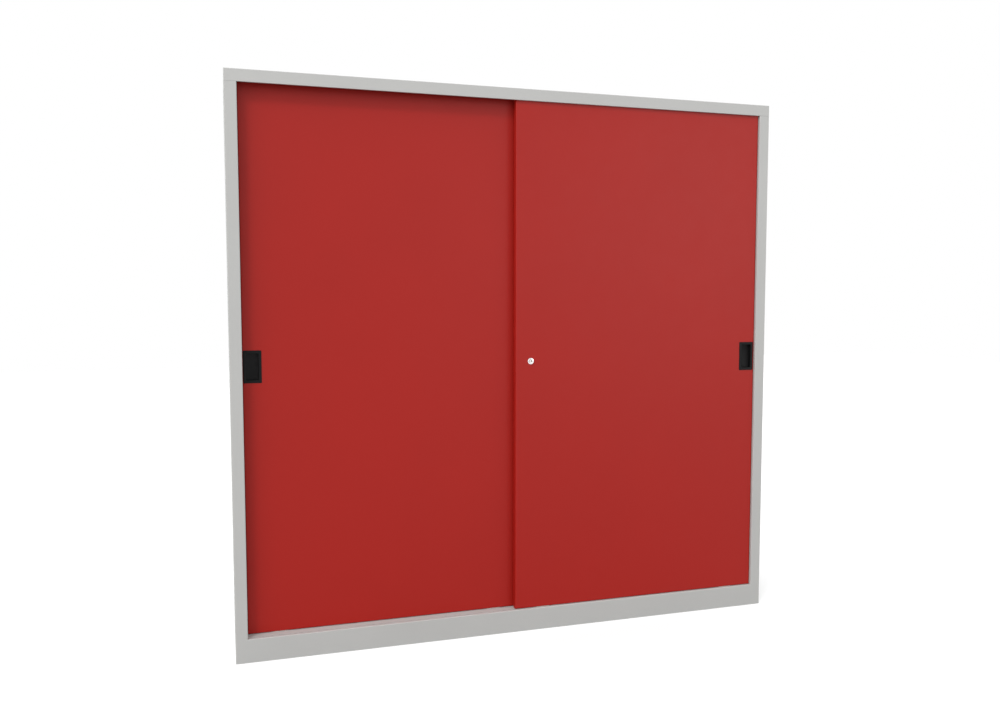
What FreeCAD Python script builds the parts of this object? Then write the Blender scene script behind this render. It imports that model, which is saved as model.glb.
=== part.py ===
import FreeCAD, Part
import math
import os

Vector = FreeCAD.Vector

# Sliding door cabinet of folded steel sheet, in millimetres.
# The origin is at the floor, under the middle of the cabinet. X runs to the right along the
# front, Y from the front to the back, and Z up.

# ------------------------------------------------------------------ overall size and sheet
width = 2000.0
height = 1950.0
depth = 450.0
sheet = 1.0  # carcass, doors and shelves
plate = 1.5  # rails, angles and keeper
bend = 1.0  # inside radius of the frame's folds that show
seat = 0.3  # gap between a moving piece and what it rests against
running = 0.05  # radial clearance of a shaft in its hole
hairline = 0.4  # open joint between the cap and the side panels

# ------------------------------------------------------------------ carcass
frame_face = 40.0  # width of the posts and height of the cap's fascia
post_depth = 78.0
post_lip = 25.0
rear_flange = 20.0
fascia_lip = 8.0
plinth_height = 80.0
plinth_foot = 20.0
ledge_depth = 80.0
ledge_drop = 40.0
groove_depth = 10.0
groove_width = 4.0
groove_behind_face = 3.0  # from a door's front face to its groove
base_foot = 20.0
cap_angle_leg = 24.0
cap_angle_height = 59.0
cap_angle_gap = 5.0

# ------------------------------------------------------------------ doors and their gear
door_set = 9.0  # front door's face behind the front of the frame
door_depth = 25.0
door_flange = 16.0
door_bend = 2.0  # inside radius of the folds round the skin
door_side_gap = 1.0
door_floor_gap = 1.5
door_top_lap = 10.0  # how far the doors stand up behind the fascia
door_overlap = 36.0
track_pitch = 36.0  # from the front door's face to the rear door's face
stiffener_width = 50.0
stiffener_depth = 20.0
stiffener_flange = 12.0
stiffener_apart = 320.0
stiffener_short = 40.0
hanger_apart = 600.0
hanger_width = 64.0
hanger_head = 26.0
hanger_plate = 3.0
hanger_behind_face = 10.0
hanger_above_axle = 9.0
hanger_corner = 7.0
hanger_bolts_apart = 40.0
hanger_inset = 2.5
bolt_neck = 4.0  # square neck, which keeps the bolt from turning
bolt_flats = 7.0
bolt_head = 2.8
cap_nut = 4.5
wheel_radius = 10.0
wheel_groove_radius = 8.0
wheel_groove = 2.5
wheel_width = 7.5
wheel_gap = 0.5
axle_radius = 3.0
axle_flats = 9.0
axle_head = 1.5
rail_edge_height = 3.0
rail_flange = 11.5
rail_gap = 1.0
rail_web_gap = 0.7
rail_end_gap = 30.0
shoe_width = 50.0
shoe_height = 12.0
shoe_depth = 10.0
fin_depth = 9.0
fin_lead = 4.0
shoes_apart = 760.0
buffer_width = 14.0
buffer_height = 30.0
buffer_low = 300.0
buffer_high = 1650.0

# ------------------------------------------------------------------ recessed pulls
pull_height_at = 990.0  # height of the pulls, the lock and the keeper above the floor
pull_width = 60.0
pull_height = 109.0
pull_proud = 1.2
front_pull_gap = 4.5  # from a pull's rim to its door's outer edge
rear_pull_gap = 1.5
pull_rim = 10.0
pull_depth = 14.5
pull_wall = 2.0
pull_corner = 3.0

# ------------------------------------------------------------------ lock and keeper
lock_from_edge = 57.0
collar_radius = 11.5
collar_thickness = 2.0
lock_body_length = 24.0
barrel_radius = 8.0
barrel_length = 27.5
barrel_travel = 5.0
plug_radius = 5.0
plug_length = 21.0
plug_recess = 0.4
keyway_width = 2.0
keyway_height = 8.0
keyway_depth = 12.0
lock_body_flats = 19.0  # hexagonal body behind the collar
lock_body_groove = 1.2
lock_clip_width = 34.0
lock_clip_height = 30.0
lock_clip_thickness = 1.2
lock_bolt_width = 8.0
lock_bolt_length = 7.5
keeper_height = 40.0
keeper_leg = 12.0
keeper_reach = 15.0
keeper_forward = 7.7  # how far it stands in front of the rear door's face
keeper_pad = 2.0  # from the rear door's face back to the middle of its buffer

# ------------------------------------------------------------------ inside
partition_width = 30.0
partition_set = 84.0
partition_joint = 1.0
upright_width = 28.0
upright_depth = 12.0
upright_set = 109.0
upright_off_back = 30.0
upright_top_gap = 65.0
slot_pitch = 125.0
slot_first = 255.0
slot_count = 11
slot_width = 3.2
slot_height = 12.0
shelf_set = 90.0
shelf_off_back = 10.0
shelf_edge = 30.0
shelf_return = 12.0
shelf_side_gap = 1.5
shelf_slots = (1, 4, 7, 10)
clip_thickness = 2.6
clip_ledge = 14.0
clip_height = 24.0
clip_slot_drop = 14.0  # from the clip's ledge to the middle of its slot
tongue_height = 8.0
hook_drop = 3.5
hook_depth = 2.0

# ------------------------------------------------------------------ places worked out from the sizes
half = width / 2
front = -depth / 2
back = depth / 2
cap_bottom = height - frame_face
cap_under = height - sheet
opening_half = half - frame_face
inside_half = half - sheet

door_width = (2 * opening_half - 2 * door_side_gap + door_overlap) / 2
door_bottom = plinth_height + door_floor_gap
door_top = cap_bottom + door_top_lap
front_face = front + door_set
rear_face = front_face + track_pitch
front_door_left = opening_half - door_side_gap - door_width
rear_door_left = -opening_half + door_side_gap
rear_door_right = rear_door_left + door_width
front_pull_x = front_door_left + door_width - front_pull_gap - pull_width / 2
rear_pull_x = rear_door_left + rear_pull_gap + pull_width / 2

rail_bottom = door_top + hanger_plate + rail_gap
rail_edge_top = rail_bottom + plate + rail_edge_height
axle_height = rail_edge_top + seat + wheel_groove_radius
hanger_top = axle_height + hanger_above_axle
buffer_thickness = door_side_gap - seat

lock_x = front_door_left + lock_from_edge
back_panel_face = back - 2 * sheet
upright_face = inside_half - upright_depth
upright_lines = (front + upright_set, back - upright_off_back)


# ------------------------------------------------------------------ ways to make a solid
def plan(u, v, w):
    """Profile drawn as seen from above, extruded upwards."""
    return Vector(u, v, w)


def side(u, v, w):
    """Profile drawn as seen from the side (depth, height), extruded along X."""
    return Vector(w, u, v)


def elevation(u, v, w):
    """Profile drawn as seen from the front (width, height), extruded along Y."""
    return Vector(u, w, v)


def block(x0, x1, y0, y1, z0, z1):
    return Part.makeBox(x1 - x0, y1 - y0, z1 - z0, Vector(x0, y0, z0))


def extruded(edges, view, start, end):
    face = Part.Face(Part.Wire(edges))
    return face.extrude(view(0, 0, end) - view(0, 0, start))


def polygon(points, view, start, end):
    corners = [view(u, v, start) for u, v in points]
    edges = [Part.makeLine(a, b) for a, b in zip(corners, corners[1:] + corners[:1])]
    return extruded(edges, view, start, end)


def rounded_path(points, radii, view, start):
    """Edges along the points, with a tangent arc at each inner point that has a radius."""
    edges = []
    at = points[0]
    for before, corner, after, radius in zip(points, points[1:], points[2:], radii):
        if radius == 0:
            edges.append(Part.makeLine(view(at.x, at.y, start), view(corner.x, corner.y, start)))
            at = corner
            continue
        coming = (corner - before).normalize()
        going = (after - corner).normalize()
        half_turn = coming.getAngle(going) / 2
        towards_centre = (going - coming).normalize()
        centre = corner + towards_centre * (radius / math.cos(half_turn))
        middle = centre - towards_centre * radius
        first = corner - coming * (radius * math.tan(half_turn))
        last = corner + going * (radius * math.tan(half_turn))
        edges.append(Part.makeLine(view(at.x, at.y, start), view(first.x, first.y, start)))
        arc = [view(p.x, p.y, start) for p in (first, middle, last)]
        edges.append(Part.Arc(*arc).toShape())
        at = last
    end = points[-1]
    edges.append(Part.makeLine(view(at.x, at.y, start), view(end.x, end.y, start)))
    return edges


def folded(path, thickness, view, start, end, bends=None):
    """Folded sheet to the left of the path; bends are the inside radii of its folds, if not sharp."""
    bends = bends or [0] * (len(path) - 2)
    points = [Vector(u, v, 0) for u, v in path]
    runs = [(b - a).normalize() for a, b in zip(points, points[1:])]
    lefts = [Vector(-run.y, run.x, 0) for run in runs]
    other = [points[0] + lefts[0] * thickness]
    near_radii = []
    far_radii = []
    for number, inside in enumerate(bends):
        before, after = lefts[number:number + 2]
        turns_left = runs[number].cross(runs[number + 1]).z > 0
        outside = inside + thickness if inside else 0
        other.append(points[number + 1] + (before + after) * (thickness / (1 + before.dot(after))))
        near_radii.append(outside if turns_left else inside)
        far_radii.append(inside if turns_left else outside)
    other.append(points[-1] + lefts[-1] * thickness)
    near = rounded_path(points, near_radii, view, start)
    far = rounded_path(other[::-1], far_radii[::-1], view, start)
    ends = []
    for a, b in ((points[-1], other[-1]), (other[0], points[0])):
        ends.append(Part.makeLine(view(a.x, a.y, start), view(b.x, b.y, start)))
    return extruded(near + ends[:1] + far + ends[1:], view, start, end)


def rod(x, y0, y1, z, radius):
    """Round bar along Y."""
    return Part.makeCylinder(radius, y1 - y0, Vector(x, y0, z), Vector(0, 1, 0))


def turned_along_y(profile, x, z):
    """Profile of (radius, y) points turned about the line through x and z."""
    points = [Vector(x + radius, y, z) for radius, y in profile]
    face = Part.Face(Part.makePolygon(points + points[:1]))
    return face.revolve(Vector(x, 0, z), Vector(0, 1, 0), 360)


def hexagon_reach(flats):
    """From a hexagon's middle to its corners."""
    return flats / math.sqrt(3)


def hexagon(x, v, flats, view, start, end):
    """Hexagonal prism with two flats square to the v direction."""
    reach = hexagon_reach(flats)
    corners = []
    for number in range(6):
        angle = math.radians(60 * number)
        corners.append((x + reach * math.cos(angle), v + reach * math.sin(angle)))
    return polygon(corners, view, start, end)


def mirrored(shape):
    return shape.mirror(Vector(0, 0, 0), Vector(1, 0, 0))


def edges_where(shape, test):
    """Edges of a shape whose middle passes the test."""
    return [edge for edge in shape.Edges if test(edge.CenterOfMass)]


# ------------------------------------------------------------------ carcass
def side_panel():
    """Right side: lip, post return, post face, side wall and rear flange, from one sheet.

    Beside the plinth the post's fold is filled with weld and ground flush, so it is square there.
    """
    inner = opening_half
    path = [
        (inner + post_lip, front + post_depth),
        (inner, front + post_depth),
        (inner, front),
        (half, front),
        (half, back),
        (half - rear_flange, back),
    ]
    foot = folded(path, sheet, plan, 0, plinth_height, [0, 0, bend, 0])
    panel = folded(path, sheet, plan, plinth_height, cap_bottom - hairline, [0, bend, bend, 0])
    return panel.fuse(foot).removeSplitter()


def top_cap():
    """Lid with a fascia all round, and a lip turned in under the front fascia."""
    outside = block(-half, half, front, back, cap_bottom, height)
    folds = edges_where(outside, lambda p: p.y < back - 1 and p.z > cap_bottom + 1)
    cap = outside.makeFillet(bend + sheet, folds)
    cap = cap.cut(block(-inside_half, inside_half, front + sheet, back - sheet, 0, cap_under))
    lip_top = cap_bottom + sheet
    lip = block(-opening_half, opening_half, front + sheet, front + fascia_lip, cap_bottom, lip_top)
    return cap.fuse(lip).removeSplitter()


def plinth_rail():
    """Plinth, ledge under the doors and its two guide grooves, rolled from one sheet."""
    path = [(front + ledge_depth, plinth_height - ledge_drop), (front + ledge_depth, plinth_height)]
    for face in (rear_face, front_face):
        near = face + groove_behind_face
        far = near + groove_width
        floor = plinth_height - groove_depth
        path += [(far, plinth_height), (far, floor), (near, floor), (near, plinth_height)]
    path += [(front, plinth_height), (front, 0), (front + plinth_foot, 0)]
    bends = [0] * (len(path) - 2)
    bends[-2] = bend
    return folded(path, sheet, side, -opening_half, opening_half, bends)


def base_panel():
    """Floor of the cabinet, turned down at the front and down to the ground at the rear."""
    rear = back_panel_face
    path = [
        (rear - base_foot, 0),
        (rear, 0),
        (rear, plinth_height),
        (front + ledge_depth, plinth_height),
        (front + ledge_depth, plinth_height - ledge_drop),
    ]
    return folded(path, sheet, side, -inside_half, inside_half)


def back_panel():
    """Right-hand back sheet, held inside the rear flanges of the side and the cap."""
    return block(0, inside_half, back_panel_face, back_panel_face + sheet, sheet, cap_under)


def cap_angle():
    """Angle inside the right-hand end, welded across the joint of cap and side panel."""
    path = [
        (inside_half - cap_angle_leg, cap_under),
        (inside_half, cap_under),
        (inside_half, cap_under - cap_angle_height),
    ]
    ends = (front + cap_angle_gap, back - cap_angle_gap)
    return folded(path[::-1], plate, elevation, *ends)


def centre_partition():
    """Hollow partition from one sheet: closed at the front, two lips against the back panels."""
    side_x = partition_width / 2
    rear = back_panel_face
    path = [
        (-partition_joint / 2, rear),
        (-side_x, rear),
        (-side_x, front + partition_set),
        (side_x, front + partition_set),
        (side_x, rear),
        (partition_joint / 2, rear),
    ]
    walls = folded(path, sheet, plan, plinth_height, cap_under)
    cutters = []
    for y in upright_lines:
        cutters += slot_cutters(-side_x - sheet, side_x + sheet, y)
    return walls.cut(cutters)


def base_channel():
    """Channel on the floor under the partition, which carries its load past the base panel."""
    side_x = partition_width / 2
    path = [(-side_x, 0), (-side_x, plinth_height - sheet), (side_x, plinth_height - sheet), (side_x, 0)]
    ends = (front + ledge_depth + sheet, back_panel_face - base_foot)
    return folded(path[::-1], plate, elevation, *ends)


def hanging_rail(face):
    """J-shaped rail welded under the cap; the wheels run on its turned-up edge."""
    wheel_front = face + hanger_behind_face + hanger_plate + wheel_gap
    edge = wheel_front + wheel_width / 2 + plate / 2
    web = wheel_front + wheel_width + seat + axle_head + rail_web_gap
    path = [
        (web + rail_flange, cap_under),
        (web, cap_under),
        (web, rail_bottom + plate),
        (edge, rail_bottom + plate),
        (edge, rail_edge_top),
    ]
    ends = half - rail_end_gap
    return folded(path, plate, side, -ends, ends)


def slot_heights():
    return [slot_first + slot_pitch * number for number in range(slot_count)]


def slot_cutters(x0, x1, y):
    """Boxes that cut one column of hook slots through a wall between x0 and x1."""
    column = []
    for z in slot_heights():
        low = z - slot_height / 2
        column.append(block(x0, x1, y - slot_width / 2, y + slot_width / 2, low, low + slot_height))
    return column


def upright(y):
    """Slotted channel on the right-hand wall that the shelf clips hook into."""
    path = [
        (inside_half, y + upright_width / 2),
        (upright_face, y + upright_width / 2),
        (upright_face, y - upright_width / 2),
        (inside_half, y - upright_width / 2),
    ]
    channel = folded(path, sheet, plan, plinth_height, cap_under - upright_top_gap)
    return channel.cut(slot_cutters(upright_face - sheet, upright_face + 2 * sheet, y))


def shelf_top(slot):
    return slot_first + slot_pitch * slot + clip_slot_drop + shelf_edge


def shelf(slot):
    """Right-hand tray shelf: front and rear edges folded twice, ends folded down."""
    x0 = partition_width / 2 + shelf_side_gap
    x1 = upright_face - shelf_side_gap
    near = front + shelf_set
    far = back - shelf_off_back
    top = shelf_top(slot)
    low = top - shelf_edge
    path = [
        (far - shelf_return, low),
        (far, low),
        (far, top),
        (near, top),
        (near, low),
        (near + shelf_return, low),
    ]
    tray = folded(path, sheet, side, x0, x1)
    ends = []
    for x in (x0, x1 - sheet):
        ends.append(block(x, x + sheet, near + sheet, far - sheet, low, top - sheet))
    return tray.fuse(ends).removeSplitter()


def clip(wall, inwards, y, slot):
    """Blade that carries a shelf, with a hooked tongue down through its slot."""
    ledge = shelf_top(slot) - shelf_edge
    nose = wall + inwards * clip_ledge
    tongue_low = ledge - clip_slot_drop - slot_height / 2
    tongue_top = tongue_low + tongue_height
    behind_wall = wall - inwards * (sheet + seat)
    hook_back = behind_wall - inwards * hook_depth
    outline = [
        (wall, ledge),
        (nose, ledge),
        (wall, ledge - clip_height),
        (wall, tongue_low),
        (behind_wall, tongue_low),
        (behind_wall, tongue_low - hook_drop),
        (hook_back, tongue_low - hook_drop),
        (hook_back, tongue_top),
        (wall, tongue_top),
    ]
    return polygon(outline, elevation, y - clip_thickness / 2, y + clip_thickness / 2)


def shelf_clips():
    """Four clips under each shelf, in both bays."""
    clips = []
    for slot in shelf_slots:
        for y in upright_lines:
            outer = clip(upright_face, -1, y, slot)
            inner = clip(partition_width / 2, 1, y, slot)
            clips += [outer, inner, mirrored(outer), mirrored(inner)]
    return clips


def end_buffers():
    """Rubber pads on the posts that stop each door at both ends of its travel."""
    front_line = front_face + door_depth / 2
    rear_line = rear_face + door_depth / 2
    keeper_line = rear_face + keeper_pad
    places = [(1, keeper_line, pull_height_at)]
    for z in (buffer_low, buffer_high):
        places += [(-1, front_line, z), (1, front_line, z), (-1, rear_line, z)]
    pads = []
    for way, y, z in places:
        x0, x1 = sorted((way * opening_half, way * (opening_half - buffer_thickness)))
        wide = buffer_width / 2
        tall = buffer_height / 2
        pads.append(block(x0, x1, y - wide, y + wide, z - tall, z + tall))
    return pads


# ------------------------------------------------------------------ doors
def door_pan(left, face):
    """Skin with four returns and a narrow rear flange; the fold behind the fascia stays sharp."""
    right = left + door_width
    rear = face + door_depth
    outside = block(left, right, face, rear, door_bottom, door_top)
    folds = edges_where(outside, lambda p: p.y < face + 1 and p.z < door_top - 1)
    shell = outside.makeFillet(door_bend + sheet, folds)
    spans = {sheet: (face + sheet, rear - sheet), door_flange: (rear - 2 * sheet, rear + sheet)}
    for inset, (near, far) in spans.items():
        low = door_bottom + inset
        high = door_top - inset
        shell = shell.cut(block(left + inset, right - inset, near, far, low, high))
    return shell


def door(left, face, pull_x):
    """Door pan with its cut-outs for the pull, the hanger bolts and the guide shoes."""
    through_skin = (face - sheet, face + 2 * sheet)
    through_top = (door_top - 2 * sheet, door_top + sheet)
    through_bottom = (door_bottom - sheet, door_bottom + 2 * sheet)
    cutters = [cup_block(pull_x, 0, *through_skin)]
    for x, y in bolt_places(left, face):
        cutters.append(square_bar(x, y, bolt_neck, *through_top))
    near = face + groove_behind_face
    reach = shoe_width / 2 + seat
    for x in shoe_places(left):
        cutters.append(block(x - reach, x + reach, near, near + groove_width, *through_bottom))
    return door_pan(left, face).cut(cutters)


def front_door():
    through_skin = (front_face - sheet, front_face + 2 * sheet)
    hole = hexagon(lock_x, pull_height_at, lock_body_flats, elevation, *through_skin)
    return door(front_door_left, front_face, front_pull_x).cut(hole)


def stiffeners(left, face):
    """Two hat sections spot-welded inside the skin."""
    skin = face + sheet
    crown = skin + stiffener_depth
    hats = []
    for offset in (-stiffener_apart / 2, stiffener_apart / 2):
        x = left + door_width / 2 + offset
        inner = stiffener_width / 2
        outer = inner + stiffener_flange
        path = [(x - outer, skin), (x - inner, skin), (x - inner, crown)]
        path += [(x + inner, crown), (x + inner, skin), (x + outer, skin)]
        hats.append(folded(path, sheet, plan, door_bottom + stiffener_short, door_top - stiffener_short))
    return hats


def hanger_places(left):
    middle = left + door_width / 2
    return (middle - hanger_apart / 2, middle + hanger_apart / 2)


def shoe_places(left):
    middle = left + door_width / 2
    return (middle - shoes_apart / 2, middle + shoes_apart / 2)


def bolt_line(face):
    """Depth of the hanger bolts: midway between the skin and the hanger's upright."""
    return face + (hanger_inset + hanger_behind_face) / 2


def bolt_places(left, face):
    """Two bolts to a hanger."""
    reach = hanger_bolts_apart / 2
    return [(at + offset, bolt_line(face)) for at in hanger_places(left) for offset in (-reach, reach)]


def square_bar(x, y, width_across, z0, z1):
    reach = width_across / 2
    return block(x - reach, x + reach, y - reach, y + reach, z0, z1)


def hanger(x, face):
    """Angle bolted on the door's top; its tapered upright carries the wheel."""
    plate_front = face + hanger_behind_face
    plate_back = plate_front + hanger_plate
    foot_top = door_top + hanger_plate
    wide = hanger_width / 2
    head = hanger_head / 2
    base = block(x - wide, x + wide, face + hanger_inset, plate_back, door_top, foot_top)
    shoulder = hanger_top - hanger_corner
    outline = [
        (x - wide, foot_top),
        (x + wide, foot_top),
        (x + head, axle_height),
        (x + head, shoulder),
        (x + head - hanger_corner, hanger_top),
        (x - head + hanger_corner, hanger_top),
        (x - head, shoulder),
        (x - head, axle_height),
    ]
    bracket = base.fuse(polygon(outline, elevation, plate_front, plate_back))
    holes = []
    for offset in (-hanger_bolts_apart / 2, hanger_bolts_apart / 2):
        holes.append(square_bar(x + offset, bolt_line(face), bolt_neck, door_top - 1, foot_top + 1))
    return bracket.cut(holes)


def wheel_front(face):
    return face + hanger_behind_face + hanger_plate + wheel_gap


def wheel(x, face):
    """Nylon wheel with a groove that straddles the rail's edge."""
    near = wheel_front(face)
    far = near + wheel_width
    groove_near = (near + far - wheel_groove) / 2
    groove_far = groove_near + wheel_groove
    bore = axle_radius + running
    profile = [
        (bore, near),
        (wheel_radius, near),
        (wheel_radius, groove_near),
        (wheel_groove_radius, groove_near),
        (wheel_groove_radius, groove_far),
        (wheel_radius, groove_far),
        (wheel_radius, far),
        (bore, far),
    ]
    return turned_along_y(profile, x, axle_height)


def axles(left, face):
    """Studs welded on the backs of the hangers, each with a hexagon head that keeps the wheel on."""
    studs = []
    start = face + hanger_behind_face + hanger_plate
    head = wheel_front(face) + wheel_width + seat
    for x in hanger_places(left):
        shank = rod(x, start, head, axle_height, axle_radius)
        studs.append(shank.fuse(hexagon(x, axle_height, axle_flats, elevation, head, head + axle_head)))
    return studs


def hanger_bolts(left, face):
    """Square-necked bolts through hanger and door top, each with its cap nut below."""
    bolts = []
    head_low = door_top + hanger_plate
    nut_top = door_top - sheet
    for x, y in bolt_places(left, face):
        head = hexagon(x, y, bolt_flats, plan, head_low, head_low + bolt_head)
        bolts.append(head.fuse(square_bar(x, y, bolt_neck, nut_top, head_low)))
        bolts.append(hexagon(x, y, bolt_flats, plan, nut_top - cap_nut, nut_top))
    return bolts


def guide_shoes(left, face):
    """Nylon shoes in the door's bottom; the fin runs in the groove of the ledge."""
    shoes = []
    inside = door_bottom + sheet
    near = face + groove_behind_face + seat
    far = face + groove_behind_face + groove_width - seat
    fin_low = plinth_height - fin_depth
    for x in shoe_places(left):
        wide = shoe_width / 2
        skin = face + sheet
        body = block(x - wide, x + wide, skin, skin + shoe_depth, inside, inside + shoe_height)
        outline = [(x - wide, inside), (x - wide, fin_low + fin_lead), (x - wide + fin_lead, fin_low)]
        outline += [(x + wide - fin_lead, fin_low), (x + wide, fin_low + fin_lead), (x + wide, inside)]
        shoes.append(body.fuse(polygon(outline, elevation, near, far)))
    return shoes


# ------------------------------------------------------------------ recessed pulls
def cup_block(x, inset, near, far):
    """Outside of the cup behind the rim, or that much inside it."""
    wide = pull_width / 2 - pull_rim + pull_wall - inset
    tall = pull_height / 2 - pull_rim + pull_wall - inset
    return block(x - wide, x + wide, near, far, pull_height_at - tall, pull_height_at + tall)


def round_corners(shape, near, far):
    """Rounds the four corners of an upright block that runs from near to far."""
    return shape.makeFillet(pull_corner, edges_where(shape, lambda p: near < p.y < far))


def pull(x, face):
    """Moulded flush pull: a thin rim on the skin and a cup through the cut-out."""
    rim_front = face - pull_proud
    floor = face + pull_depth
    rim = cup_block(x, pull_wall - pull_rim, rim_front, face)
    cup = cup_block(x, 0, face, floor + pull_wall)
    pocket = cup_block(x, pull_wall, rim_front, floor)
    return round_corners(rim, rim_front, face).fuse(cup).cut(round_corners(pocket, rim_front, floor))


# ------------------------------------------------------------------ lock
def lock_housing():
    """Chromed collar and hexagonal body that the barrel slides in, grooved for its clip."""
    near = front_face - collar_thickness
    far = front_face + lock_body_length
    flat = lock_body_flats / 2
    body = hexagon(lock_x, pull_height_at, lock_body_flats, elevation, front_face, far)
    grooves = []
    for z in (pull_height_at - flat, pull_height_at + flat - lock_body_groove):
        grooves.append(block(lock_x - flat, lock_x + flat, *lock_clip_span(), z, z + lock_body_groove))
    collar = rod(lock_x, near, front_face, pull_height_at, collar_radius)
    bore = rod(lock_x, near - 1, far + 1, pull_height_at, barrel_radius + running)
    return collar.fuse(body).cut(grooves + [bore])


def lock_clip_span():
    """Front and rear of the clip, which lies against the inside of the skin."""
    return (front_face + sheet, front_face + sheet + lock_clip_thickness)


def lock_clip():
    """Horseshoe clip pushed into the body's grooves from the left; it holds the lock in the door."""
    wide = lock_clip_width / 2
    tall = lock_clip_height / 2
    jaw = lock_body_flats / 2 - lock_body_groove
    notch = -hexagon_reach(lock_body_flats)
    outline = [(wide, -tall), (wide, -jaw), (notch, -jaw), (notch, jaw), (wide, jaw), (wide, tall)]
    outline += [(-wide, tall), (-wide, -tall)]
    return polygon([(lock_x + u, pull_height_at + v) for u, v in outline], elevation, *lock_clip_span())


def barrel_front():
    return front_face - collar_thickness - barrel_travel


def lock_barrel():
    """Barrel that is pushed in to lock; the key plug turns in its front."""
    near = barrel_front()
    barrel = rod(lock_x, near, near + barrel_length, pull_height_at, barrel_radius)
    plug_end = near + plug_recess + plug_length + seat
    return barrel.cut(rod(lock_x, near - 1, plug_end, pull_height_at, plug_radius + running))


def key_plug():
    """Plug with its keyway."""
    near = barrel_front() + plug_recess
    plug = rod(lock_x, near, near + plug_length, pull_height_at, plug_radius)
    keyway = block(
        lock_x - keyway_width / 2,
        lock_x + keyway_width / 2,
        near - 1,
        near + keyway_depth,
        pull_height_at - keyway_height / 2,
        pull_height_at + keyway_height / 2,
    )
    return plug.cut(keyway)


def lock_bolt():
    """Square pin on the barrel's rear end that comes to stand beside the keeper."""
    near = barrel_front() + barrel_length
    reach = lock_bolt_width / 2
    low = pull_height_at - reach
    high = pull_height_at + reach
    return block(lock_x - reach, lock_x + reach, near, near + lock_bolt_length, low, high)


def keeper():
    """Z-shaped stop spot-welded on the rear door's end, which the lock bolt stands against."""
    leg_rear = rear_face + door_depth - 2 * sheet
    step = leg_rear - keeper_leg
    reach = rear_door_right + keeper_reach - plate
    path = [
        (rear_door_right, leg_rear),
        (rear_door_right, step),
        (reach, step),
        (reach, rear_face - keeper_forward),
    ]
    low = pull_height_at - keeper_height / 2
    return folded(path, plate, plan, low, low + keeper_height)


# ------------------------------------------------------------------ the cabinet, node by node
pieces = {
    "side_panel_right": side_panel(),
    "side_panel_left": mirrored(side_panel()),
    "top_cap": top_cap(),
    "cap_angles": [cap_angle(), mirrored(cap_angle())],
    "plinth_rail": plinth_rail(),
    "base_panel": base_panel(),
    "base_channel": base_channel(),
    "back_panel_right": back_panel(),
    "back_panel_left": mirrored(back_panel()),
    "centre_partition": centre_partition(),
    "front_rail": hanging_rail(front_face),
    "rear_rail": hanging_rail(rear_face),
    "shelf_clips": shelf_clips(),
    "end_buffers": end_buffers(),
}
for end, y in zip(("front", "rear"), upright_lines):
    pieces[f"upright_right_{end}"] = upright(y)
    pieces[f"upright_left_{end}"] = mirrored(upright(y))
for number, slot in enumerate(shelf_slots, 1):
    pieces[f"shelf_right_{number}"] = shelf(slot)
    pieces[f"shelf_left_{number}"] = mirrored(shelf(slot))

pieces["front_door"] = front_door()
pieces["rear_door"] = door(rear_door_left, rear_face, rear_pull_x)
for name, left, face, pull_x in (
    ("front_door", front_door_left, front_face, front_pull_x),
    ("rear_door", rear_door_left, rear_face, rear_pull_x),
):
    pieces[f"{name}_stiffeners"] = stiffeners(left, face)
    pieces[f"{name}_axles"] = axles(left, face)
    pieces[f"{name}_hanger_bolts"] = hanger_bolts(left, face)
    pieces[f"{name}_guide_shoes"] = guide_shoes(left, face)
    pieces[f"{name}_pull"] = pull(pull_x, face)
    for end, x in zip(("left", "right"), hanger_places(left)):
        pieces[f"{name}_hanger_{end}"] = hanger(x, face)
        pieces[f"{name}_wheel_{end}"] = wheel(x, face)

pieces["lock_housing"] = lock_housing()
pieces["lock_clip"] = lock_clip()
pieces["lock_barrel"] = lock_barrel()
pieces["lock_bolt"] = lock_bolt()
pieces["key_plug"] = key_plug()
pieces["lock_keeper"] = keeper()

os.makedirs("parts", exist_ok=True)
for name, shape in pieces.items():
    if isinstance(shape, list):
        shape = Part.makeCompound(shape)
    shape.exportStep(f"parts/{name}.step")
    print(name, len(shape.Solids), "solids", round(shape.Volume / 1000, 1), "cm3", shape.isValid())
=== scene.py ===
import math

import bmesh
import bpy
from mathutils import Matrix, Vector


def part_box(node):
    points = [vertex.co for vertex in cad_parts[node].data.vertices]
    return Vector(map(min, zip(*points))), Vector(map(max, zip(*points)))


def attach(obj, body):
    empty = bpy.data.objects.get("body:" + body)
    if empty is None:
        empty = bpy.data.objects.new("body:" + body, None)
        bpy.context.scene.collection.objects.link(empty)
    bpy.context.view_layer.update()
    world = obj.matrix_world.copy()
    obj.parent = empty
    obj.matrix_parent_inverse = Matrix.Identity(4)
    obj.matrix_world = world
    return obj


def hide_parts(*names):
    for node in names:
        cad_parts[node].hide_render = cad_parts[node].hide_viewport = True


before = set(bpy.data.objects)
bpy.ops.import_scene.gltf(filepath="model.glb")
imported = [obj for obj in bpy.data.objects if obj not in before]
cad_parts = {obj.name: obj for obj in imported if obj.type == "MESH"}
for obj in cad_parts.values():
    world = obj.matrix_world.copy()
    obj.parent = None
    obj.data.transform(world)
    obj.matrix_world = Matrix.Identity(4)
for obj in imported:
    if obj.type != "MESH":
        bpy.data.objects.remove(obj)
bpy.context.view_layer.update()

# ---------------------------------------------------------------- carcass
# Side panels with their front posts, cap, plinth, floor, backs, partition, uprights and shelves.
# They are 1 mm cold-rolled steel sheet, blanked, folded on a press brake and spot-welded, then
# powder-coated light grey and baked.

mm = 0.001  # one millimetre in the file's metres
FRAME_GREY = "B7B7B5"
CARCASS = [
    "side_panel_right", "side_panel_left", "top_cap", "cap_angles", "plinth_rail", "base_panel",
    "base_channel", "back_panel_right", "back_panel_left", "centre_partition",
]
for side in ("right", "left"):
    CARCASS += [f"upright_{side}_front", f"upright_{side}_rear"]
    CARCASS += [f"shelf_{side}_{number}" for number in range(1, 5)]

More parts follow.
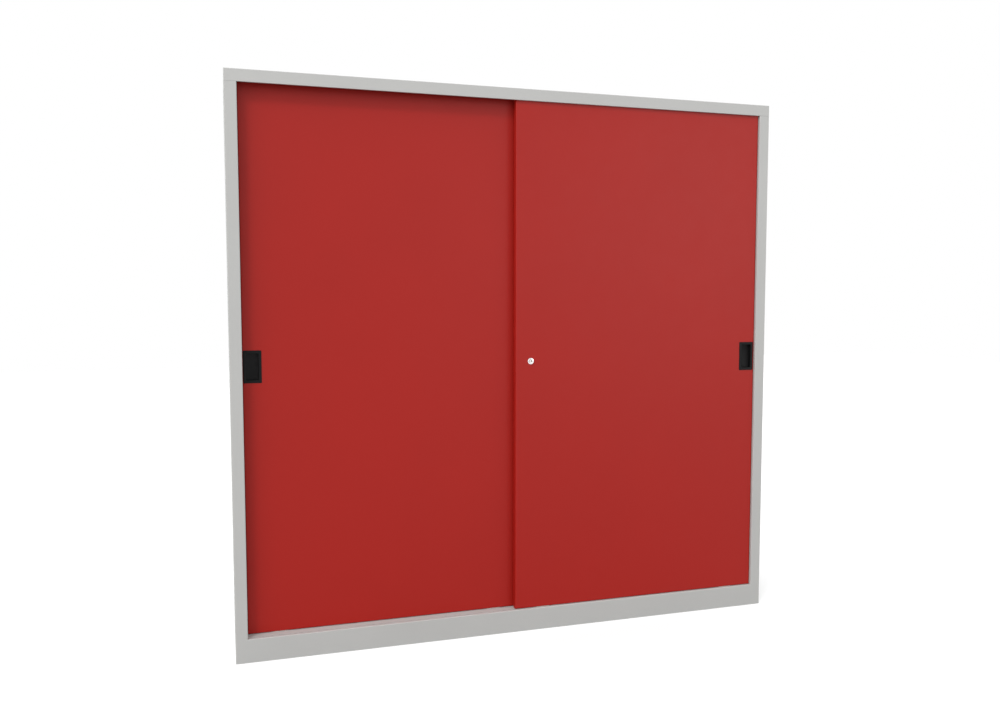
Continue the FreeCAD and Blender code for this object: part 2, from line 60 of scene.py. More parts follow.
NOISE_LOW = 0.3  # most of a noise pattern lies between these two values
NOISE_HIGH = 0.7
COAT_DRIFT = 0.015  # share by which the coat's tone rises and falls
GLOSS_DRIFT = 0.015  # by which its roughness rises and falls


def linear(colour):
    """Turns an sRGB hex colour to linear red, green, blue and alpha."""
    channels = [int(colour[at:at + 2], 16) / 255 for at in (0, 2, 4)]
    straight = [c / 12.92 if c <= 0.04045 else ((c + 0.055) / 1.055) ** 2.4 for c in channels]
    return straight + [1.0]


def add_node(tree, kind, inputs=None, **settings):
    """Adds a node; an input that is given a socket is linked, and any other value is set on it."""
    node = tree.nodes.new(kind)
    for name, value in settings.items():
        setattr(node, name, value)
    for name, value in (inputs or {}).items():
        if isinstance(value, bpy.types.NodeSocket):
            tree.links.new(value, node.inputs[name])
        else:
            node.inputs[name].default_value = value
    return node


def new_material(name):
    """An empty material and its node tree."""
    material = bpy.data.materials.new(name)
    material.use_nodes = True
    material.node_tree.nodes.clear()
    return material, material.node_tree


def powder_coat(name, colour, roughness):
    """Polyester powder, sprayed on dry and melted to an even satin skin.

    The eye sees one flat colour with a soft sheen, broken by the orange peel that the melting
    powder leaves, and over a large panel by a slow drift of tone where the coat is thicker.
    """
    coat, tree = new_material(name)
    place = add_node(tree, "ShaderNodeTexCoord").outputs["Object"]
    # The coat's thickness drifts over about 300 mm, the reach of one pass of the spray gun.
    drift = add_node(tree, "ShaderNodeTexNoise", {
        "Vector": place, "Scale": 1 / (300 * mm), "Detail": 2.0})
    tone = add_node(tree, "ShaderNodeMapRange", {
        "Value": drift.outputs["Fac"], "From Min": NOISE_LOW, "From Max": NOISE_HIGH,
        "To Min": 1 - COAT_DRIFT, "To Max": 1 + COAT_DRIFT})
    paint = add_node(tree, "ShaderNodeVectorMath", {
        0: linear(colour)[:3], "Scale": tone.outputs["Result"]}, operation="SCALE")
    # The gloss is patchy over about 40 mm.
    patches = add_node(tree, "ShaderNodeTexNoise", {
        "Vector": place, "Scale": 1 / (40 * mm), "Detail": 3.0})
    gloss = add_node(tree, "ShaderNodeMapRange", {
        "Value": patches.outputs["Fac"], "From Min": NOISE_LOW, "From Max": NOISE_HIGH,
        "To Min": roughness - GLOSS_DRIFT, "To Max": roughness + GLOSS_DRIFT})
    # Orange peel has waves of about 2 mm. A second, coarser layer of 8 mm stands for it where the
    # whole cabinet is in view and 2 mm is under a pixel.
    coarse = add_node(tree, "ShaderNodeTexNoise", {
        "Vector": place, "Scale": 1 / (8 * mm), "Detail": 1.0})
    fine = add_node(tree, "ShaderNodeTexNoise", {
        "Vector": place, "Scale": 1 / (2 * mm), "Detail": 1.0})
    slow = add_node(tree, "ShaderNodeBump", {
        "Height": coarse.outputs["Fac"], "Strength": 0.25, "Distance": 0.3 * mm})
    peel = add_node(tree, "ShaderNodeBump", {
        "Height": fine.outputs["Fac"], "Strength": 0.6, "Distance": 0.1 * mm,
        "Normal": slow.outputs["Normal"]})
    # The matting agent in the powder takes the reflection down from the usual level of 0.5.
    surface = add_node(tree, "ShaderNodeBsdfPrincipled", {
        "Base Color": paint.outputs["Vector"], "Roughness": gloss.outputs["Result"],
        "Specular IOR Level": 0.28, "Normal": peel.outputs["Normal"]})
    add_node(tree, "ShaderNodeOutputMaterial", {"Surface": surface.outputs["BSDF"]})
    return coat


def finish(material, *names):
    """Gives CAD nodes their finish."""
    for name in names:
        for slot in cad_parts[name].material_slots:
            slot.material = material


grey_powder_coat = powder_coat("light grey powder coat", FRAME_GREY, roughness=0.5)
finish(grey_powder_coat, *CARCASS)

# ---------------------------------------------------------------- doors
# Two pans of the same sheet, 977 mm wide, folded on all four edges with a narrow flange behind, and
# two hat sections spot-welded inside each. They are powder-coated red as one with their stiffeners.

DOOR_RED = "A0160C"
red_powder_coat = powder_coat("red powder coat", DOOR_RED, roughness=0.48)
for door in ("front", "rear"):
    finish(red_powder_coat, f"{door}_door", f"{door}_door_stiffeners")

# ---------------------------------------------------------------- spot welds
# Each weld is a 5 mm spot where two copper electrodes squeezed the sheets together. It leaves a low
# ring round a shallow dimple, which the powder coat covers.

WELD_RADIUS = 3 * mm
WELD_POINTS = 16
WELD_RING = [  # radius as a share of the whole, and height in mm, from the dimple outwards
    (0.05, 0.03), (0.45, 0.04), (0.75, 0.14), (0.9, 0.1), (1.0, -0.02),
]
SHARP_EDGE = math.radians(38)  # an edge that turns by more than this stays sharp

LIP_WELDS = (0.13, 1.88)  # heights of the lowest and highest weld on the partition's lips
LIP_PITCH = 90 * mm
LEG_HEIGHT = 40 * mm  # of the welds along the floor's rear leg
LEG_WELDS = (0.06, 0.94)  # from the middle of the cabinet to the first and last of them
LEG_PITCH = 110 * mm

HAT_SHEET = 1 * mm
HAT_HALF_WIDTH = 37 * mm
HAT_FLANGE_MIDDLE = 31 * mm  # from the middle of a hat section to the middle of its flange
HAT_WELD_END = 25 * mm  # from the end of a hat section to its last weld
HAT_PITCH = 150 * mm


def new_piece(name, shape, materials, body):
    """Makes a piece of the object from a bmesh, with its finish, riding on a CAD body."""
    bmesh.ops.recalc_face_normals(shape, faces=shape.faces)
    mesh = bpy.data.meshes.new(name)
    shape.to_mesh(mesh)
    shape.free()
    for material in materials:
        mesh.materials.append(material)
    mesh.polygons.foreach_set("use_smooth", [True] * len(mesh.polygons))
    mesh.set_sharp_from_angle(angle=SHARP_EDGE)
    piece = bpy.data.objects.new(name, mesh)
    bpy.context.scene.collection.objects.link(piece)
    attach(piece, body)
    return piece


def circle(radius, depth, count):
    """Points of a circle round the Z axis, at a depth along it."""
    return [(radius * math.cos(a), radius * math.sin(a), depth)
            for a in (2 * math.pi * number / count for number in range(count))]


def into_front(place):
    """A frame at a place, whose Z axis points into the cabinet from the front, along +Y."""
    return Matrix.Translation(place) @ Matrix.Rotation(-math.pi / 2, 4, "X")


def loft(shape, rings, to_world, material_index=0, ends=(True, True)):
    """Moves a row of rings to its place, skins it, and closes its two ends where asked.

    The rings have equally many points. Returns their rows of vertices.
    """
    rows = [[shape.verts.new(to_world @ Vector(point)) for point in ring] for ring in rings]
    made = []
    for near, far in zip(rows, rows[1:]):
        for number in range(len(near)):
            after = (number + 1) % len(near)
            made.append(shape.faces.new((near[number], near[after], far[after], far[number])))
    for row, wanted in ((rows[0], ends[0]), (rows[-1], ends[1])):
        if wanted:
            made.append(shape.faces.new(row))
    for face in made:
        face.material_index = material_index
    return rows


def weld_marks(name, places, material, body):
    """Low rings at the places on a sheet's rear face."""
    shape = bmesh.new()
    for place in places:
        rings = [circle(share * WELD_RADIUS, height * mm, WELD_POINTS) for share, height in WELD_RING]
        loft(shape, rings, into_front(place), ends=(True, False))
    return new_piece(name, shape, [material], body)


def steps(low, high, pitch):
    """Evenly spaced values from low to high, about a pitch apart."""
    count = max(1, round((high - low) / pitch))
    return [low + (high - low) * number / count for number in range(count + 1)]


# The partition's rear lips and the floor's rear leg are welded to the backs.
rear_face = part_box("back_panel_right")[1].y
lip_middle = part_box("centre_partition")[1].x / 2
marks = [(way * lip_middle, rear_face, z) for way in (-1, 1) for z in steps(*LIP_WELDS, LIP_PITCH)]
marks += [(way * x, rear_face, LEG_HEIGHT) for way in (-1, 1) for x in steps(*LEG_WELDS, LEG_PITCH)]
weld_marks("back_spot_welds", marks, grey_powder_coat, "carcass")

# The hat sections' flanges are welded to the doors' skins.
for door in ("front", "rear"):
    low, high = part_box(f"{door}_door_stiffeners")
    heights = steps(low.z + HAT_WELD_END, high.z - HAT_WELD_END, HAT_PITCH)
    marks = [(middle + way * HAT_FLANGE_MIDDLE, low.y + HAT_SHEET, z)
             for middle in (low.x + HAT_HALF_WIDTH, high.x - HAT_HALF_WIDTH)
             for way in (-1, 1) for z in heights]
    weld_marks(f"{door}_door_spot_welds", marks, red_powder_coat, f"{door}_door_leaf")

# ---------------------------------------------------------------- hanging gear
# J-shaped rails under the cap, hangers bolted on the doors' tops, the studs that the wheels turn on,
# the keeper and the shelf clips. They are pressed from 1.5 to 3 mm steel and zinc-plated bright.

ZINC = "C2C5C8"
bright_zinc_plate, tree = new_material("bright zinc plate")
place = add_node(tree, "ShaderNodeTexCoord").outputs["Object"]
# The eye sees a cool, fairly bright metal that is drawn out along the strip. Rolling leaves streaks
# a few hundredths of a millimetre apart. They are drawn 1.5 mm apart and 80 mm long, as coarse as
# they need to be to show.
stretched = add_node(tree, "ShaderNodeMapping", {
    "Vector": place, "Scale": (1 / (80 * mm), 1 / (1.5 * mm), 1 / (1.5 * mm))})
streaks = add_node(tree, "ShaderNodeTexNoise", {
    "Vector": stretched.outputs["Vector"], "Scale": 1.0, "Detail": 3.0})
streak_gloss = add_node(tree, "ShaderNodeMapRange", {
    "Value": streaks.outputs["Fac"], "From Min": NOISE_LOW, "From Max": NOISE_HIGH,
    "To Min": 0.28, "To Max": 0.42})
streak_bump = add_node(tree, "ShaderNodeBump", {
    "Height": streaks.outputs["Fac"], "Strength": 0.2, "Distance": 0.05 * mm})
# The bath leaves faint clouds of tint over about 25 mm.
clouds = add_node(tree, "ShaderNodeTexNoise", {
    "Vector": place, "Scale": 1 / (25 * mm), "Detail": 2.0})
cloud_tone = add_node(tree, "ShaderNodeMapRange", {
    "Value": clouds.outputs["Fac"], "From Min": NOISE_LOW, "From Max": NOISE_HIGH,
    "To Min": 0.86, "To Max": 1.04})
plating = add_node(tree, "ShaderNodeVectorMath", {
    0: linear(ZINC)[:3], "Scale": cloud_tone.outputs["Result"]}, operation="SCALE")
surface = add_node(tree, "ShaderNodeBsdfPrincipled", {
    "Base Color": plating.outputs["Vector"], "Metallic": 1.0,
    "Roughness": streak_gloss.outputs["Result"], "Normal": streak_bump.outputs["Normal"]})
add_node(tree, "ShaderNodeOutputMaterial", {"Surface": surface.outputs["BSDF"]})

finish(bright_zinc_plate, "front_rail", "rear_rail", "shelf_clips", "lock_keeper")
for door in ("front", "rear"):
    finish(bright_zinc_plate, f"{door}_door_hanger_left", f"{door}_door_hanger_right",
           f"{door}_door_axles")

# ---------------------------------------------------------------- hanger bolts
# M4 bolts with a square neck and a low hexagon head on the hanger's foot, and a domed cap nut under
# the door's top, so that no thread stands out. Cold-headed steel, zinc-plated.

BOLT_FLATS = 7 * mm
BOLT_NECK = 4 * mm
BOLT_POINTS = 24
BOLT_REACH = 20 * mm  # from the hanger's middle to a bolt
BOLT_LINE = 3.75 * mm  # behind the front of the hanger's foot
FOOT_THICKNESS = 3 * mm
DOOR_SHEET = 1 * mm
HEAD_SIDE = 2.2 * mm  # height of the head's flat sides
HEAD_CROWN = [(0.47, 2.7), (0.42, 2.8)]  # radius as a share of the flats, and height in mm
NUT_SIDE = 2.1 * mm
NUT_DOME = [(0.47, 2.5), (0.43, 2.9), (0.36, 3.6), (0.22, 4.2), (0.06, 4.5)]  # as for the crown


def flat_sided(sides, across, depth, count):
    """Points of a square or hexagon round the Z axis, as many as in the circles it is skinned to."""
    half_side = math.pi / sides
    points = []
    for number in range(count):
        angle = 2 * math.pi * number / count
        off_flat = (angle + half_side) % (2 * half_side) - half_side
        reach = across / 2 / math.cos(off_flat)
        points.append((reach * math.cos(angle), reach * math.sin(angle), depth))
    return points


def hexagon_with_top(side, top):
    """Rings of a hexagon with a rounded top, for a bolt's head or a cap nut."""
    rings = [flat_sided(6, BOLT_FLATS, height, BOLT_POINTS) for height in (0, side)]
    return rings + [circle(share * BOLT_FLATS, height * mm, BOLT_POINTS) for share, height in top]


held_together = FOOT_THICKNESS + DOOR_SHEET
neck_rings = [flat_sided(4, BOLT_NECK, height, BOLT_POINTS) for height in (-held_together, 0)]
head_rings = hexagon_with_top(HEAD_SIDE, HEAD_CROWN)
nut_rings = hexagon_with_top(NUT_SIDE, NUT_DOME)
for door in ("front", "rear"):
    shape = bmesh.new()
    for end in ("left", "right"):
        low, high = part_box(f"{door}_door_hanger_{end}")
        middle = (low.x + high.x) / 2
        for offset in (-BOLT_REACH, BOLT_REACH):
            on_foot = Matrix.Translation((middle + offset, low.y + BOLT_LINE, low.z + FOOT_THICKNESS))
            under_skin = on_foot @ Matrix.Translation((0, 0, -held_together))
            loft(shape, neck_rings + head_rings, on_foot)
            loft(shape, nut_rings, under_skin @ Matrix.Rotation(math.pi, 4, "X"))
    bolts = new_piece(f"{door}_door_bolts_and_cap_nuts", shape, [bright_zinc_plate],
                      f"{door}_door_leaf")
    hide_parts(f"{door}_door_hanger_bolts")

# ---------------------------------------------------------------- wheels and guide shoes
# Natural nylon, injection-moulded: grooved wheels with a recessed web, which run on the rails' edge,
# and shoes in the doors' bottoms, whose fins run in the grooves of the ledge.

NYLON = "DCD9CF"
natural_nylon, tree = new_material("natural nylon")
place = add_node(tree, "ShaderNodeTexCoord").outputs["Object"]
# Nylon is waxy and lets a little light in; the mould leaves a fine matt grain, drawn at 0.6 mm.
grain = add_node(tree, "ShaderNodeTexNoise", {
    "Vector": place, "Scale": 1 / (0.6 * mm), "Detail": 2.0})
grain_bump = add_node(tree, "ShaderNodeBump", {
    "Height": grain.outputs["Fac"], "Strength": 0.25, "Distance": 0.05 * mm})
# Moisture and flow leave clouds over about 6 mm.
flow = add_node(tree, "ShaderNodeTexNoise", {
    "Vector": place, "Scale": 1 / (6 * mm), "Detail": 2.0})
flow_tone = add_node(tree, "ShaderNodeMapRange", {
    "Value": flow.outputs["Fac"], "From Min": NOISE_LOW, "From Max": NOISE_HIGH,
    "To Min": 0.92, "To Max": 1.03})
resin = add_node(tree, "ShaderNodeVectorMath", {
    0: linear(NYLON)[:3], "Scale": flow_tone.outputs["Result"]}, operation="SCALE")
surface = add_node(tree, "ShaderNodeBsdfPrincipled", {
    "Base Color": resin.outputs["Vector"], "Roughness": 0.42, "IOR": 1.53,
    "Subsurface Weight": 0.1, "Subsurface Scale": 1 * mm, "Normal": grain_bump.outputs["Normal"]})
add_node(tree, "ShaderNodeOutputMaterial", {"Surface": surface.outputs["BSDF"]})
finish(natural_nylon, "front_door_guide_shoes", "rear_door_guide_shoes")

WHEEL_POINTS = 64
WHEEL_PROFILE = [  # radius and place along the axle in mm, from the front of the bore and round
    (3.05, 0.3), (3.35, 0.0), (4.9, 0.0), (5.1, 0.2), (5.2, 0.9), (7.6, 0.9), (7.75, 0.2), (7.95, 0.0),
    (9.4, 0.0), (9.8, 0.15), (10.0, 0.55), (10.0, 2.2), (9.85, 2.45), (8.1, 2.6), (8.0, 2.75),
    (8.0, 4.75), (8.1, 4.9), (9.85, 5.05), (10.0, 5.3), (10.0, 6.95), (9.8, 7.35), (9.4, 7.5),
    (7.95, 7.5), (7.75, 7.3), (7.6, 6.6), (5.2, 6.6), (5.1, 7.3), (4.9, 7.5), (3.35, 7.5), (3.05, 7.2),
]


def front_of(node):
    """The middle of a CAD node's front face."""
    low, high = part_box(node)
    return Vector(((low.x + high.x) / 2, low.y, (low.z + high.z) / 2))


def turned(shape, profile, place, count):
    """Turns a closed profile of (radius, depth) in millimetres about the line along +Y at a place."""
    rings = [circle(radius * mm, depth * mm, count) for radius, depth in profile]
    rows = loft(shape, rings, into_front(place), ends=(False, False))
    first, last = rows[0], rows[-1]
    for number in range(count):
        after = (number + 1) % count
        shape.faces.new((last[number], last[after], first[after], first[number]))


for door in ("front", "rear"):
    for end in ("left", "right"):
        node = f"{door}_door_wheel_{end}"
        shape = bmesh.new()
        turned(shape, WHEEL_PROFILE, front_of(node), WHEEL_POINTS)
        wheel = new_piece(f"{door}_door_grooved_wheel_{end}", shape, [natural_nylon],
                          f"{door}_wheel_{end}")
        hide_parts(node)

# ---------------------------------------------------------------- end buffers
# Pads of black rubber, 30 x 14 mm, punched from 0.7 mm sheet and glued on the posts where the doors
# and the keeper come to rest.

RUBBER = "232323"
black_rubber, tree = new_material("black rubber sheet")
place = add_node(tree, "ShaderNodeTexCoord").outputs["Object"]
# Rubber sheet is dull, with a cloth-like press mark of about 0.8 mm.
press = add_node(tree, "ShaderNodeTexNoise", {
    "Vector": place, "Scale": 1 / (0.8 * mm), "Detail": 3.0})
press_bump = add_node(tree, "ShaderNodeBump", {
    "Height": press.outputs["Fac"], "Strength": 0.4, "Distance": 0.1 * mm})
surface = add_node(tree, "ShaderNodeBsdfPrincipled", {
    "Base Color": linear(RUBBER), "Roughness": 0.8, "IOR": 1.52,
    "Normal": press_bump.outputs["Normal"]})
add_node(tree, "ShaderNodeOutputMaterial", {"Surface": surface.outputs["BSDF"]})
finish(black_rubber, "end_buffers")

# ---------------------------------------------------------------- recessed pulls
# One moulding for each door in black ABS: a thin rim on the skin and a cup 14.5 mm deep for the
# fingertips, snapped through a cut-out. The mould was spark-eroded, so the skin is finely matt.

BLACK_ABS = "0F0F10"
spark_textured_abs, tree = new_material("black spark-textured ABS")
place = add_node(tree, "ShaderNodeTexCoord").outputs["Object"]
# Spark erosion gives pits of about 0.15 mm; they are drawn 0.5 mm across to show in a close view.
pits = add_node(tree, "ShaderNodeTexNoise", {
    "Vector": place, "Scale": 1 / (0.5 * mm), "Detail": 2.0})
pit_bump = add_node(tree, "ShaderNodeBump", {
    "Height": pits.outputs["Fac"], "Strength": 0.35, "Distance": 0.08 * mm})
# Fingers polish the texture unevenly over about 15 mm.
handled = add_node(tree, "ShaderNodeTexNoise", {
    "Vector": place, "Scale": 1 / (15 * mm), "Detail": 2.0})
handled_gloss = add_node(tree, "ShaderNodeMapRange", {
    "Value": handled.outputs["Fac"], "From Min": NOISE_LOW, "From Max": NOISE_HIGH,
    "To Min": 0.42, "To Max": 0.56})
# The pits swallow most of the reflection, so its level is well under the usual 0.5.
surface = add_node(tree, "ShaderNodeBsdfPrincipled", {
    "Base Color": linear(BLACK_ABS), "Roughness": handled_gloss.outputs["Result"], "IOR": 1.54,
    "Specular IOR Level": 0.12, "Normal": pit_bump.outputs["Normal"]})
add_node(tree, "ShaderNodeOutputMaterial", {"Surface": surface.outputs["BSDF"]})

CORNER_POINTS = 8
PULL_SECTION = [  # inset from the rim's edge, corner radius and depth in mm
    (10.0, 1.5, 17.7), (8.5, 1.5, 17.2), (8.0, 1.0, 15.7), (8.0, 1.0, 1.2),  # outside of the cup
    (0.0, 3.0, 1.2), (0.0, 3.0, 0.55), (0.18, 2.82, 0.17), (0.6, 2.4, 0.0),  # edge of the rim
    (9.0, 4.0, 0.0), (9.7, 3.3, 0.28), (10.0, 3.0, 1.0),  # mouth of the cup
    (10.4, 2.6, 14.2), (10.8, 2.4, 15.2), (11.9, 2.0, 15.7),  # inside and floor of the cup
]


def rounded_rectangle(half_width, half_height, radius, depth):
    """Points of a rectangle with rounded corners round the Z axis, from sizes in millimetres."""
    points = []
    for way_x, way_y, start in ((1, 1, 0), (-1, 1, 90), (-1, -1, 180), (1, -1, 270)):
        for number in range(CORNER_POINTS):
            angle = math.radians(start + 90 * number / (CORNER_POINTS - 1))
            points.append(((way_x * (half_width - radius) + radius * math.cos(angle)) * mm,
                           (way_y * (half_height - radius) + radius * math.sin(angle)) * mm,
                           depth * mm))
    return points


for door in ("front", "rear"):
    node = f"{door}_door_pull"
    low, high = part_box(node)
    half_width = (high.x - low.x) / 2 / mm
    half_height = (high.z - low.z) / 2 / mm
    rings = [rounded_rectangle(half_width - inset, half_height - inset, radius, depth)
             for inset, radius, depth in PULL_SECTION]
    shape = bmesh.new()
    loft(shape, rings, into_front(front_of(node)))
    pull = new_piece(f"{door}_door_flush_pull", shape, [spark_textured_abs], f"{door}_door_leaf")
    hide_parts(node)

# ---------------------------------------------------------------- lock
# A push lock: a die-cast housing with a round collar on the skin and a hexagonal body through it, and
# a turned brass barrel, both plated in bright chrome. A sprung clip holds it from inside.

CHROME = "E4E5E6"
polished_chrome, tree = new_material("polished chrome plate")
place = add_node(tree, "ShaderNodeTexCoord").outputs["Object"]
# Handling leaves a faint haze over about 5 mm on an otherwise mirror-bright skin.
haze = add_node(tree, "ShaderNodeTexNoise", {
    "Vector": place, "Scale": 1 / (5 * mm), "Detail": 3.0})
haze_gloss = add_node(tree, "ShaderNodeMapRange", {
    "Value": haze.outputs["Fac"], "From Min": 0.35, "From Max": NOISE_HIGH,
    "To Min": 0.1, "To Max": 0.2})
surface = add_node(tree, "ShaderNodeBsdfPrincipled", {
    "Base Color": linear(CHROME), "Metallic": 1.0, "Roughness": haze_gloss.outputs["Result"]})
add_node(tree, "ShaderNodeOutputMaterial", {"Surface": surface.outputs["BSDF"]})

LOCK_POINTS = 72
COLLAR = [  # radius and depth in mm, from the bore's front and round the collar
    (8.05, 0.35), (8.4, 0.0), (9.6, 0.0), (10.6, 0.12), (11.2, 0.5), (11.5, 1.1), (11.5, 2.0),
    (8.05, 2.0),
]
BODY = [  # width across the flats and depth in mm, from the collar back; the clip sits in the groove
    (19.0, 2.0), (19.0, 3.0), (16.6, 3.0), (16.6, 4.2), (19.0, 4.2), (19.0, 25.0), (17.4, 26.0),
]
BORE_RADIUS = 8.05 * mm
BARREL = [  # radius and depth in mm, from the plug's bore and round the barrel
    (5.05, 0.25), (5.3, 0.0), (7.2, 0.0), (7.7, 0.15), (8.0, 0.6), (8.0, 27.0), (7.6, 27.5),
    (4.2, 27.5), (4.2, 21.7), (5.05, 21.7),
]

lock_front = front_of("lock_housing")
shape = bmesh.new()
turned(shape, COLLAR, lock_front, LOCK_POINTS)
outside = [flat_sided(6, flats * mm, depth * mm, LOCK_POINTS) for flats, depth in BODY]
bore_near = circle(BORE_RADIUS, BODY[0][1] * mm, LOCK_POINTS)
bore_far = circle(BORE_RADIUS, BODY[-1][1] * mm, LOCK_POINTS)
loft(shape, [bore_near, *outside, bore_far, bore_near], into_front(lock_front), ends=(False, False))
housing = new_piece("lock_collar_and_body", shape, [polished_chrome], "front_door_leaf")
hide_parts("lock_housing")

barrel_front = front_of("lock_barrel")
shape = bmesh.new()
turned(shape, BARREL, barrel_front, LOCK_POINTS)
barrel = new_piece("lock_push_barrel", shape, [polished_chrome], "lock_cylinder")
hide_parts("lock_barrel")

# ---------------------------------------------------------------- key plug
# Turned from brass and nickel-plated, with a milled keyway 2 mm wide and 8 mm high. Inside, the
# keyway's walls are painted near-black for the shade deep in the slot, with painted glints of the
# pins.
# The bolt and the clip are plated as the plug is.

NICKEL = "D2D0CA"
turned_nickel, tree = new_material("turned nickel plate")
place = add_node(tree, "ShaderNodeTexCoord").outputs["Object"]
# The eye sees a warm, soft metal with fine circles. The lathe leaves rings about 0.05 mm apart; they
# are drawn 0.4 mm apart to show in a close view.
from_axis = add_node(tree, "ShaderNodeVectorMath", {0: place, 1: barrel_front}, operation="SUBTRACT")
flattened = add_node(tree, "ShaderNodeVectorMath", {0: from_axis.outputs["Vector"], 1: (1, 0, 1)},
                     operation="MULTIPLY")
radius = add_node(tree, "ShaderNodeVectorMath", {0: flattened.outputs["Vector"]}, operation="LENGTH")
turns = add_node(tree, "ShaderNodeMath", {
    0: radius.outputs["Value"], 1: 2 * math.pi / (0.4 * mm)}, operation="MULTIPLY")
wave = add_node(tree, "ShaderNodeMath", {0: turns.outputs["Value"]}, operation="SINE")
ring_bump = add_node(tree, "ShaderNodeBump", {
    "Height": wave.outputs["Value"], "Strength": 0.3, "Distance": 0.01 * mm})
surface = add_node(tree, "ShaderNodeBsdfPrincipled", {
    "Base Color": linear(NICKEL), "Metallic": 1.0, "Roughness": 0.24,
    "Normal": ring_bump.outputs["Normal"]})
add_node(tree, "ShaderNodeOutputMaterial", {"Surface": surface.outputs["BSDF"]})

# Painted shade: the keyway's walls get a near-black colour for the shade deep in the slot.
KEYWAY_PAINTED_SHADE = "2A2724"
painted_keyway_shade, tree = new_material("keyway painted shade and glints")
place = add_node(tree, "ShaderNodeTexCoord").outputs["Object"]
# Painted glints: lighter flecks about 3 mm apart stand for light on the pins in the painted-dark slot.
pin_glint_noise = add_node(tree, "ShaderNodeTexNoise", {
    "Vector": place, "Scale": 1 / (3 * mm), "Detail": 1.0})
pin_glint_tone = add_node(tree, "ShaderNodeMapRange", {
    "Value": pin_glint_noise.outputs["Fac"], "From Min": NOISE_LOW, "From Max": NOISE_HIGH,
    "To Min": 0.5, "To Max": 1.3})
keyway_shade_and_glints = add_node(tree, "ShaderNodeVectorMath", {
    0: linear(KEYWAY_PAINTED_SHADE)[:3], "Scale": pin_glint_tone.outputs["Result"]}, operation="SCALE")
surface = add_node(tree, "ShaderNodeBsdfPrincipled", {
    "Base Color": keyway_shade_and_glints.outputs["Vector"], "Roughness": 0.4})
add_node(tree, "ShaderNodeOutputMaterial", {"Surface": surface.outputs["BSDF"]})

PLUG_RADIUS = 5 * mm
PLUG_EDGE = 0.3 * mm  # taken off the plug's front edge
KEYWAY_HALF_WIDTH = 1 * mm
KEYWAY_HALF_HEIGHT = 4 * mm
KEYWAY_DEPTH = 12 * mm
KEYWAY_FLARE = 0.15 * mm  # by which the keyway widens at its mouth
FLARE_DEPTH = 0.25 * mm
SAME_POINT = 0.001 * mm  # points nearer than this are joined


def keyway(flare, depth):
    """Points of the keyway, as many as in the circle it is skinned to."""
    points = []
    for number in range(LOCK_POINTS):
        angle = 2 * math.pi * number / LOCK_POINTS
        across = abs(math.cos(angle)) / (KEYWAY_HALF_WIDTH + flare)
        upwards = abs(math.sin(angle)) / (KEYWAY_HALF_HEIGHT + flare)
        reach = 1 / max(across, upwards)
        points.append((reach * math.cos(angle), reach * math.sin(angle), depth))
    return points


low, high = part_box("key_plug")
outside = [
    circle(PLUG_RADIUS, high.y - low.y, LOCK_POINTS),
    circle(PLUG_RADIUS, PLUG_EDGE, LOCK_POINTS),
    circle(PLUG_RADIUS - PLUG_EDGE, 0, LOCK_POINTS),
    keyway(KEYWAY_FLARE, 0),
    keyway(0, FLARE_DEPTH),
]
slot_walls = [keyway(0, FLARE_DEPTH), keyway(0, KEYWAY_DEPTH)]
plug_frame = into_front(front_of("key_plug"))
shape = bmesh.new()
loft(shape, outside, plug_frame, ends=(True, False))
# The slot's walls take the second finish, the painted shade and glints.
loft(shape, slot_walls, plug_frame, material_index=1, ends=(False, True))
bmesh.ops.remove_doubles(shape, verts=shape.verts, dist=SAME_POINT)
plug = new_piece("lock_key_plug", shape, [turned_nickel, painted_keyway_shade], "lock_plug")
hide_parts("key_plug")
finish(turned_nickel, "lock_bolt", "lock_clip")

# ---------------------------------------------------------------- floor, light and camera
# A plain pale floor, a dome of light that is a little brighter on the left and overhead, a high soft
# lamp and a left one that shade the recesses, one on the right that only lays a sheen, and the camera.

bpy.context.scene.view_settings.view_transform = "Standard"

FLOOR_HALF = 12.0
FLOOR_LEVEL = -0.2 * mm  # a hair under the plinth, so that the two faces don't coincide
FLOOR_PALE = 0.6  # what the camera sees of the floor's colour
FLOOR_BOUNCE = 0.29  # what the floor throws back at the cabinet
FLOOR_GLOW = 0.42  # light that only the camera, reflections and glass see
DOME_STRENGTH = 1.10
DOME_LEAN = (-0.36, 0.0, 0.2)  # towards the left and overhead
DOME_SEEN = 1.0  # white
LAMP_AIM = Vector((0.0, 0.0, 1.1))
CAMERA_PLACE = (-1.0122, -3.2538, 1.2378)
CAMERA_DOWN = 4.148  # degrees
CAMERA_TO_RIGHT = 17.112
LENS = 32.196  # focal length in mm
SENSOR_WIDTH = 36.0


def seen_directly(tree):
    """1 for rays from the camera, from a reflection or through glass, and 0 for scattered light."""
    path = add_node(tree, "ShaderNodeLightPath")
    either = add_node(tree, "ShaderNodeMath", {
        0: path.outputs["Is Camera Ray"], 1: path.outputs["Is Glossy Ray"]}, operation="MAXIMUM")
    seen = add_node(tree, "ShaderNodeMath", {
        0: either.outputs["Value"], 1: path.outputs["Is Transmission Ray"]}, operation="MAXIMUM")
    return seen.outputs["Value"]


pale_floor, tree = new_material("studio floor")
seen = seen_directly(tree)
paleness = add_node(tree, "ShaderNodeMapRange", {
    "Value": seen, "To Min": FLOOR_BOUNCE, "To Max": FLOOR_PALE})
matt = add_node(tree, "ShaderNodeBsdfDiffuse", {"Color": paleness.outputs["Result"]})
glow = add_node(tree, "ShaderNodeMath", {0: seen, 1: FLOOR_GLOW}, operation="MULTIPLY")
light = add_node(tree, "ShaderNodeEmission", {"Strength": glow.outputs["Value"]})
both = add_node(tree, "ShaderNodeAddShader", {0: matt.outputs["BSDF"], 1: light.outputs["Emission"]})
add_node(tree, "ShaderNodeOutputMaterial", {"Surface": both.outputs["Shader"]})

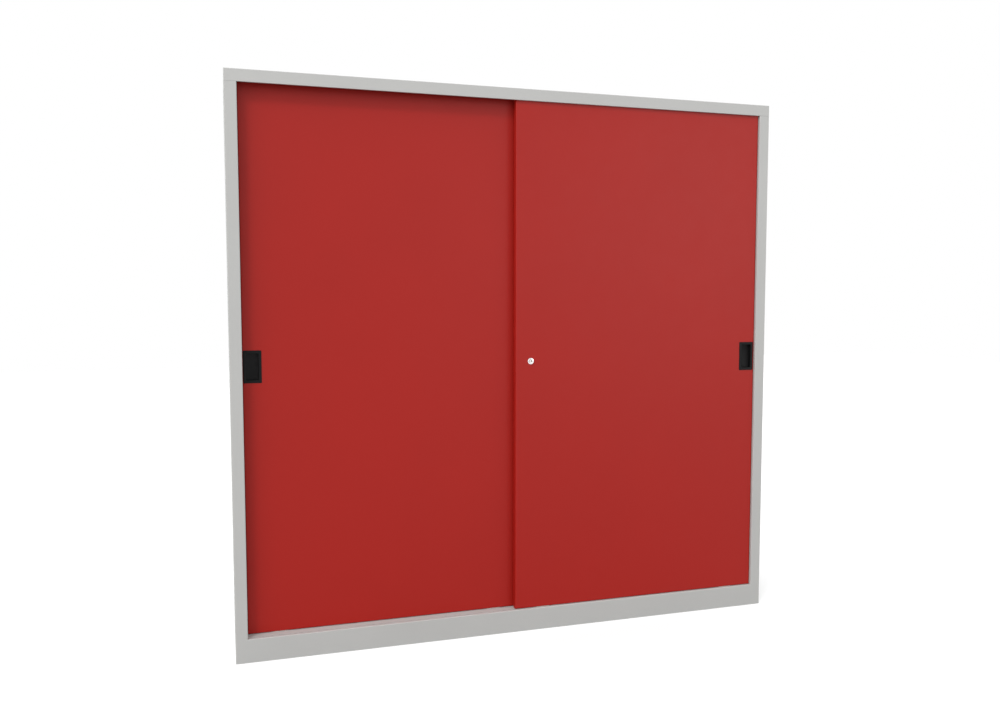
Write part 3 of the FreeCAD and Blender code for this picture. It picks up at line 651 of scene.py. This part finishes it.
shape = bmesh.new()
shape.faces.new([shape.verts.new((way_x * FLOOR_HALF, way_y * FLOOR_HALF, FLOOR_LEVEL))
                 for way_x, way_y in ((-1, -1), (1, -1), (1, 1), (-1, 1))])
floor_mesh = bpy.data.meshes.new("studio_floor")
shape.to_mesh(floor_mesh)
shape.free()
floor_mesh.materials.append(pale_floor)
studio_floor = bpy.data.objects.new("studio_floor", floor_mesh)
bpy.context.scene.collection.objects.link(studio_floor)

world = bpy.data.worlds.new("studio")
world.use_nodes = True
tree = world.node_tree
tree.nodes.clear()
direction = add_node(tree, "ShaderNodeTexCoord").outputs["Generated"]
lean = add_node(tree, "ShaderNodeVectorMath", {0: direction, 1: DOME_LEAN}, operation="DOT_PRODUCT")
dome = add_node(tree, "ShaderNodeMath", {
    0: lean.outputs["Value"], 1: DOME_STRENGTH, 2: DOME_STRENGTH}, operation="MULTIPLY_ADD")
level = add_node(tree, "ShaderNodeMapRange", {
    "Value": seen_directly(tree), "To Min": dome.outputs["Value"], "To Max": DOME_SEEN})
sky = add_node(tree, "ShaderNodeBackground", {
    "Strength": level.outputs["Result"], "Color": (1, 1, 1, 1)})
add_node(tree, "ShaderNodeOutputWorld", {"Surface": sky.outputs["Background"]})
bpy.context.scene.world = world


def softbox(name, place, width, power):
    """A square soft lamp, turned to the middle of the cabinet."""
    light = bpy.data.lights.new(name, "AREA")
    light.shape = "SQUARE"
    light.size = width
    light.energy = power
    lamp = bpy.data.objects.new(name, light)
    lamp.location = place
    lamp.rotation_euler = (LAMP_AIM - lamp.location).to_track_quat("-Z", "Y").to_euler()
    lamp.visible_camera = False
    bpy.context.scene.collection.objects.link(lamp)
    return lamp


softbox("high_softbox", place=(-7.5, -9.0, 12.4), width=2.4, power=690)
softbox("left_softbox", place=(-8.5, -5.5, 4.6), width=4.0, power=120)
sheen_lamp = softbox("right_softbox", place=(4.2, -6.3, 2.2), width=2.5, power=78)
sheen_lamp.visible_diffuse = False

lens = bpy.data.cameras.new("camera")
lens.sensor_fit = "HORIZONTAL"
lens.sensor_width = SENSOR_WIDTH
lens.lens = LENS
camera = bpy.data.objects.new("camera", lens)
camera.location = CAMERA_PLACE
camera.rotation_euler = (math.radians(90 - CAMERA_DOWN), 0, math.radians(-CAMERA_TO_RIGHT))
bpy.context.scene.collection.objects.link(camera)
bpy.context.scene.camera = camera
